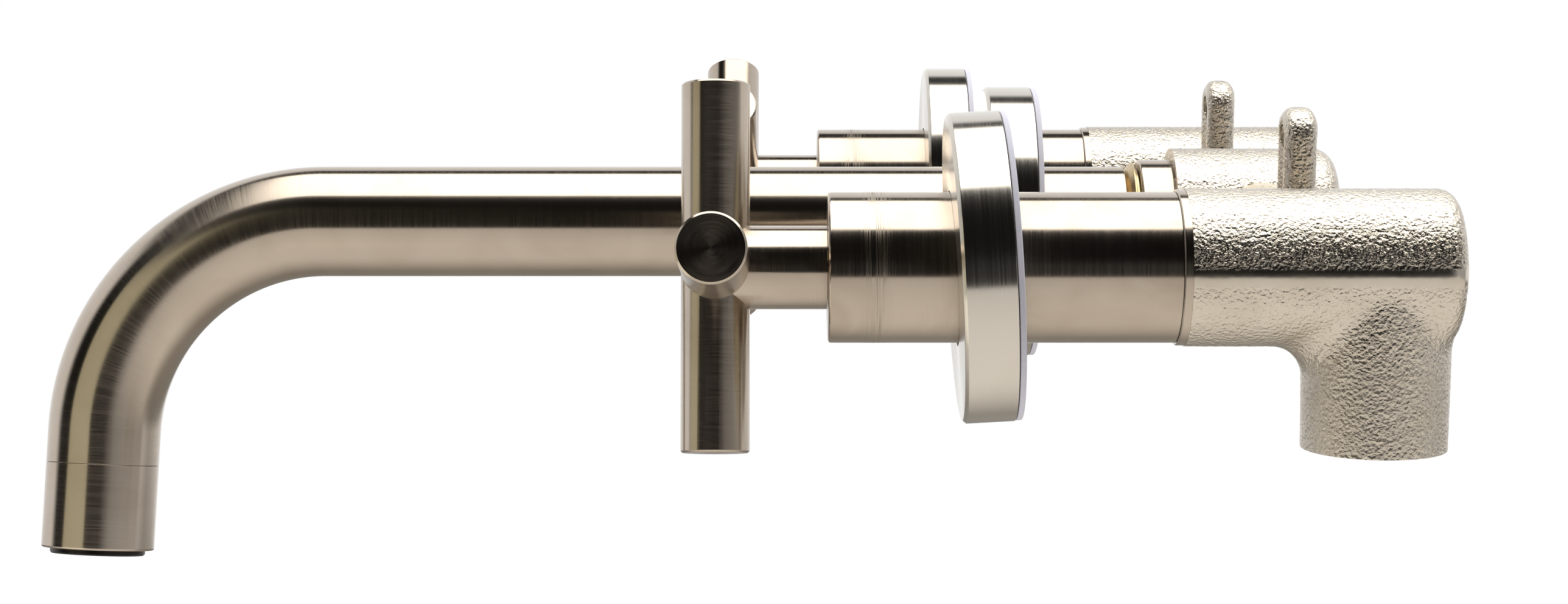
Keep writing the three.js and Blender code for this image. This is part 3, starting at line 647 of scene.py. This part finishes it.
def makeValveBodies():
    valve = {"radius": 17.5, "round": 4, "band": 2, "bandStep": 0.3, "bandEdge": 0.25, "seam": 0.02,
             "fillet": 6, "voxel": 0.48, "spare": 9, "portTop": 16.7, "portTip": 16.2, "pocket": 12.7,
             "pocketDepth": 37.7, "inlet": 10.3, "inletDepth": 14, "inletMouth": 1.2, "inletFlare": 2.7,
             "thread": 0.55, "pitch": 1.81, "way": 5.5, "overlap": 1,
             "parting": {"z": -0.4, "half": 1.2}}
    box = boxOf("cold_valve_body")
    front, back, drop = box["low"].x, box["high"].x, -box["low"].z
    edge = roundCorner(back, valve["radius"], valve["round"], 10)
    start = front - valve["spare"]      # the ends are modelled too long, then cut flat
    barrel = turnPiece("barrel", [(start, 1), (start, valve["radius"]), *edge, (back, 1)], 96)
    slope = (valve["portTop"] - valve["portTip"]) / drop
    portEnd = drop + valve["spare"]
    portProfile = [(0, 1), (0, valve["portTop"]), (portEnd, valve["portTop"] - slope * portEnd), (portEnd, 1)]
    port = turnedAt("port", portProfile, (portX, 0, 0), downwards)
    body = unite(barrel, port)
    growBack(body, valve["fillet"], valve["voxel"])
    castSkin(body, valve["parting"])
    cutFlat(body, (front + valve["band"], 0, 0), (-1, 0, 0))
    cutFlat(body, (portX, 0, -drop), (0, 0, -1))
    seat, before = front + valve["pocketDepth"], front - valve["overlap"]
    pocket = turnPiece("pocket", [(before, 1), (before, valve["pocket"]), (seat, valve["pocket"]),
                                  (seat, 1)], 64)
    depth, radius, flare = valve["inletDepth"], valve["inlet"], valve["inletFlare"]
    flareEnd = depth - valve["inletMouth"] + flare
    inlet = turnedAt("inlet", [(0, 1), (0, radius), (depth - valve["inletMouth"], radius),
                               (flareEnd, radius + flare), (flareEnd, 1)],
                     (portX, 0, depth - drop), downwards, 64)
    wayEnd = drop - depth + valve["overlap"]
    way = turnedAt("way", [(0, 1), (0, valve["way"]), (wayEnd, valve["way"]), (wayEnd, 1)],
                   (portX, 0, 0), downwards, 32)
    carve(body, pocket, inlet, way)
    smooth(body, 40)
    print("valve body triangles", sum(len(p.vertices) - 2 for p in body.data.polygons))

    # the machined band at the mouth
    bandEnd = front + valve["band"] - valve["seam"]
    outer, bandEdge, bore = valve["radius"] - valve["bandStep"], valve["bandEdge"], valve["pocket"]
    mouth = turnPiece("mouth", [(front, bore), (front, outer - bandEdge), (front + bandEdge, outer),
                                (bandEnd, outer), (bandEnd, bore), (front, bore)], 128)
    layGrain(mouth)
    # the thread in the inlet, drawn as rings
    pitch, deep, rootInset, skinInset, runOut = valve["pitch"], valve["thread"], 0.05, 0.01, 2.4
    count = int((depth - runOut) / pitch)
    rings = [point for i in range(count)
             for point in ((i * pitch, radius - rootInset), ((i + 0.5) * pitch, radius - deep))]
    rings.append((count * pitch, radius - rootInset))
    skinRadius = radius + skinInset
    thread = turnedAt("thread", [(0, skinRadius), *rings, (count * pitch, skinRadius), (0, skinRadius)],
                      (portX, 0, depth - drop + 0.1), downwards)
    for name in valveY:
        place(body, f"{name}ValveBody", f"{name}_valve_body", "rough_in", "cast_nickel", stripSkin,
              atValve(name))
        place(mouth, f"{name}ValveMouth", None, "rough_in", "brushed_nickel", polishedNickel, atValve(name))
        place(thread, f"{name}InletThread", None, "rough_in", "brass", turnedBrass, atValve(name))
    discard(body, mouth, thread)


makeValveBodies()
print("valve bodies made")


def makeSpoutBody():
    block = {"radius": 18.8, "round": 5.5, "voxel": 0.5, "spare": 9, "bore": 13.1, "boreDepth": 11.8}
    box = boxOf("spout_body")
    front, back = box["low"].x, box["high"].x
    edge = roundCorner(back, block["radius"], block["round"], 10)
    start = front - block["spare"]
    body = turnPiece("block", [(start, 1), (start, block["radius"]), *edge, (back, 1)], 96)
    useModifier(body, "REMESH", mode="VOXEL", voxel_size=block["voxel"] * mm)
    soften(body)
    castSkin(body)
    cutFlat(body, (front, 0, 0), (-1, 0, 0))
    boreEnd = front + block["boreDepth"]
    bore = turnPiece("bore", [(front - 1, 1), (front - 1, block["bore"]), (boreEnd, block["bore"]),
                              (boreEnd, 1)], 64)
    carve(body, bore)
    smooth(body, 40)
    place(body, "spoutBody", "spout_body", "rough_in", "cast_nickel", skin)
    discard(body)


makeSpoutBody()
print("spout body made")


def makeCrossovers():
    arm = {"radius": 11.5, "valve": 17.5, "spout": 18.8, "port": 16.7, "gap": 0.3, "fillet": 3, "voxel": 0.48,
           "earWidth": 13, "earThick": 6.3, "earTop": 32.3, "earRound": 2.4, "earHole": 3.05}
    thick, width, half = arm["earThick"], arm["earWidth"], arm["earWidth"] / 2
    x = mounts["hot_ear_back"][0] - thick / 2
    holeZ = arm["earTop"] - half
    rodProfile = [(0, 1), (0, arm["radius"]), (spacing, arm["radius"]), (spacing, 1)]
    rod = turnedAt("rod", rodProfile, (x, 0, 0), sideways)
    bpy.ops.object.select_all(action="DESELECT")
    bpy.ops.mesh.primitive_cube_add(size=1, location=(x * mm, earY * mm, holeZ / 2 * mm),
                                    scale=(thick * mm, width * mm, holeZ * mm))
    post = bpy.context.object
    bpy.ops.object.transform_apply(location=True, rotation=True, scale=True)
    crown = turnedAt("crown", [(-thick / 2, 1), (-thick / 2, half), (thick / 2, half), (thick / 2, 1)],
                     (x, earY, holeZ))
    ear = unite(post, crown)
    growBack(ear, -arm["earRound"], arm["voxel"])
    body = unite(rod, ear)
    growBack(body, arm["fillet"], arm["voxel"])
    castSkin(body)

    def cutter(start, end, radius, middle=1):
        return [(start, middle), (start, radius), (end, radius), (end, middle)]

    # room for the bodies it meets, and the screw hole
    reach, gap = spacing, arm["gap"]
    spoutCut = turnPiece("spoutCut", cutter(-reach, reach * 2, arm["spout"] + gap), 96)
    valveCut = turnedAt("valveCut", cutter(-reach, reach * 2, arm["valve"] + gap), (0, spacing, 0))
    portCut = turnedAt("portCut", cutter(-10, 40, arm["port"] + gap), (portX, spacing, 0), downwards)
    hole = turnedAt("hole", cutter(-9, 9, arm["earHole"], 0.5), (x, earY, holeZ), None, 48)
    carve(body, spoutCut, valveCut, portCut, hole)
    smooth(body, 40)
    for name, side in (("cold", -1), ("hot", 1)):
        turn = Matrix.Diagonal((1, side, 1, 1))
        place(body, f"{name}Crossover", f"{name}_crossover", "rough_in", "cast_nickel", skin, turn)
        if side < 0:
            editAll(bpy.context.object)
            bpy.ops.mesh.normals_make_consistent(inside=False)
            bpy.ops.object.mode_set(mode="OBJECT")
    discard(body)


makeCrossovers()
print("crossovers made")


# nipple and collar behind the spout
def makeConnection():
    joint = {"grip": 12.2, "cone": 12.8, "rise": 2.7, "coneLength": 2.4, "coneEdge": 0.5, "neckInset": 2,
             "neckLength": 1.1, "gap": 0.3, "thread": 10.6, "bore": 8, "collar": 15.8, "round": 0.8,
             "collarBore": 10.9, "collarSpigot": 12.8}
    nippleBox, collarBox = boxOf("spout_nipple"), boxOf("spout_collar")
    start, end = nippleBox["low"].x, nippleBox["high"].x
    gap = joint["gap"]
    coneX = boxOf("spout_tube")["high"].x + gap
    neckX = coneX + joint["coneLength"]
    neckEnd = neckX + joint["neckLength"] - gap
    big = joint["cone"] + joint["rise"]
    neck = big - joint["neckInset"]
    nipple = turnPiece("nippleModel", [
        (start, joint["bore"]), (start, joint["grip"]), (coneX, joint["grip"]), (coneX, joint["cone"]),
        (neckX - joint["coneEdge"], big - 0.3), (neckX, big - joint["coneEdge"]), (neckX, neck),
        (neckEnd, neck), (neckEnd, joint["thread"]), (end, joint["thread"]), (end, joint["bore"]),
        (start, joint["bore"])], 96, 0.08, 2)
    layGrain(nipple)
    place(nipple, "spoutNipple", "spout_nipple", "rough_in", "brass", paleBrass)
    front, back = collarBox["low"].x, collarBox["high"].x
    rear = boxOf("spout_body")["low"].x - gap
    radius, inside, spigot = joint["collar"], joint["collarBore"], joint["collarSpigot"]
    edge = [(2 * front - x, r) for x, r in roundCorner(front, radius, joint["round"], 5)][::-1]
    collar = turnPiece("collarModel", [(front, inside), *edge, (rear - 0.3, radius), (rear, radius - 0.3),
                                       (rear, spigot), (back, spigot), (back, inside), (front, inside)], 96)
    layGrain(collar)
    place(collar, "spoutCollar", "spout_collar", "rough_in", "brushed_nickel", polishedNickel)
    discard(nipple, collar)


makeConnection()
print("connection made")


# studio
def makeStudio():
    scene = bpy.context.scene
    scene.view_settings.view_transform = "Standard"
    world = bpy.data.worlds.new("studio")
    scene.world = world
    world.use_nodes = True
    tree = world.node_tree
    background = tree.nodes["Background"]
    direction = addNode(tree, "ShaderNodeTexCoord")
    parts = addNode(tree, "ShaderNodeSeparateXYZ", {}, {"Vector": direction.outputs["Generated"]})
    # pale wall behind the faucet up to about 39 degrees, dark elsewhere
    behind = addNode(tree, "ShaderNodeMapRange", {"From Min": -0.05, "From Max": 0.15},
                     {"Value": parts.outputs["Y"]})
    low = addNode(tree, "ShaderNodeMapRange", {"From Min": 0.66, "From Max": 0.6},
                  {"Value": parts.outputs["Z"]})
    wall = addNode(tree, "ShaderNodeMath", {"operation": "MULTIPLY"},
                   {0: behind.outputs["Result"], 1: low.outputs["Result"]})
    shade = addNode(tree, "ShaderNodeMapRange", {"To Min": 0.008, "To Max": 1},
                    {"Value": wall.outputs[0]})
    # a dim glow low down at the right, from the far side of the room
    right = addNode(tree, "ShaderNodeMapRange", {"From Min": 0.22, "From Max": 0.55, "To Max": 0.45},
                    {"Value": parts.outputs["X"]})
    below = addNode(tree, "ShaderNodeMapRange", {"From Min": 0.28, "From Max": 0.15},
                    {"Value": parts.outputs["Z"]})
    room = addNode(tree, "ShaderNodeMath", {"operation": "MULTIPLY"},
                   {0: right.outputs["Result"], 1: below.outputs["Result"]})
    surround = addNode(tree, "ShaderNodeMath", {"operation": "MAXIMUM"},
                       {0: shade.outputs["Result"], 1: room.outputs[0]})
    # the backdrop itself is white
    rays = addNode(tree, "ShaderNodeLightPath")
    seen = addNode(tree, "ShaderNodeMath", {"operation": "MAXIMUM"},
                   {0: rays.outputs["Is Camera Ray"], 1: surround.outputs[0]})
    tree.links.new(seen.outputs[0], background.inputs["Strength"])
    background.inputs["Color"].default_value = (1, 1, 1, 1)

    lights = [
        {"name": "topBox", "place": (0.2, 0.06, 0.9), "size": (1.5, 1.12), "aim": (0.2, 0.06, 0),
         "shine": 3.2, "colour": "#fffdf8"},
        {"name": "leftCard", "place": (-0.37, -0.186, -0.04), "size": (0.18, 0.44),
         "aim": (-0.15, 0.004, 0), "shine": 0.62, "colour": "#fff9d8"},
    ]
    for settings in lights:
        lamp = bpy.data.lights.new(settings["name"], "AREA")
        lamp.shape = "RECTANGLE"
        lamp.size, lamp.size_y = settings["size"]
        lamp.color = linear(settings["colour"])[:3]
        lamp.energy = settings["shine"] * math.pi * lamp.size * lamp.size_y
        holder = bpy.data.objects.new(settings["name"], lamp)
        scene.collection.objects.link(holder)
        holder.location = settings["place"]
        aim = Vector(settings["aim"]) - Vector(settings["place"])
        holder.rotation_euler = aim.to_track_quat("-Z", "Y").to_euler()
        holder.visible_camera = False

    # the shooting table: pale, with painted light glowing from its own surface towards the front, and painted
    # shade as a dimmer glow under and behind the faucet
    table = {"height": -0.5, "front": -3.6, "back": 1.6, "left": -1.9, "right": 3, "glow": 0.72,
             "glowFrom": -0.2, "glowTo": 0.35, "glowBehindPaintedShade": 0.1}
    middle = ((table["left"] + table["right"]) / 2, (table["front"] + table["back"]) / 2, table["height"])
    bpy.ops.object.select_all(action="DESELECT")
    bpy.ops.mesh.primitive_plane_add(size=1, location=middle)
    floor = bpy.context.object
    floor.name = "floor"
    floor.scale = (table["right"] - table["left"], table["back"] - table["front"], 1)
    bpy.ops.object.transform_apply(location=True, scale=True)
    material, tree, shader = newMaterial("paleTablePaintedGlow", Base_Color=linear("#98948d"), Roughness=0.8,
                                         Emission_Color=linear("#fffaf4"))
    coords = addNode(tree, "ShaderNodeTexCoord")
    parts = addNode(tree, "ShaderNodeSeparateXYZ", {}, {"Vector": coords.outputs["Object"]})
    # painted light and shade: the emission runs from a bright glow at the front down to a dim painted shade
    # behind the faucet
    glow = addNode(tree, "ShaderNodeMapRange",
                   {"interpolation_type": "SMOOTHSTEP", "From Min": table["glowFrom"],
                    "From Max": table["glowTo"], "To Min": table["glow"], "To Max": table["glowBehindPaintedShade"]},
                   {"Value": parts.outputs["Y"]})
    tree.links.new(glow.outputs["Result"], shader.inputs["Emission Strength"])
    floor.data.materials.append(material)


makeStudio()
print("studio made")
